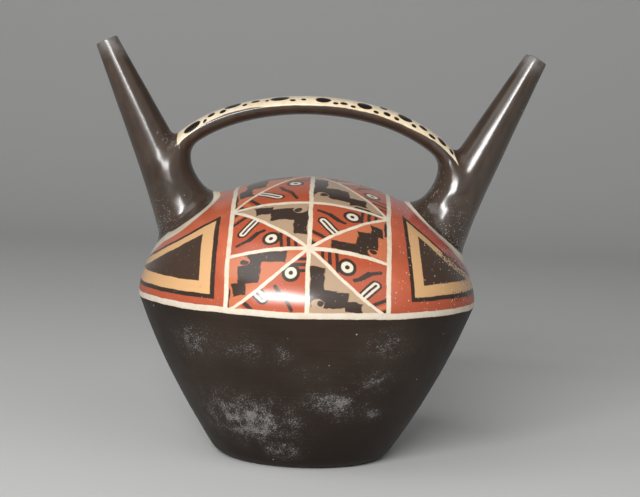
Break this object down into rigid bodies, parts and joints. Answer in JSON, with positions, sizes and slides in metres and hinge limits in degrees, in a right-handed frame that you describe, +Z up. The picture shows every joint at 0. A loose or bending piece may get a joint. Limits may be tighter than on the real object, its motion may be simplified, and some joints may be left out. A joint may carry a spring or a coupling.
{
  "type": "double spout vessel",
  "caption": "Hollow burnished clay bottle with a low round body, a flat foot, two long spouts that lean apart and a bridge handle between them, painted over the dome.",
  "frame": {"origin": "centre of the flat foot", "axes": "+Z up, +X from the body towards the right spout as seen from the front, front of the vessel at -Y"},
  "size_m": [0.2021, 0.152, 0.1864],
  "materials": {
    "clay": "burnished dark brown slip with a painted red, orange, tan and cream band"
  },
  "bodies": {
    "root": {"vessel": "clay"}
  },
  "joints": []
}
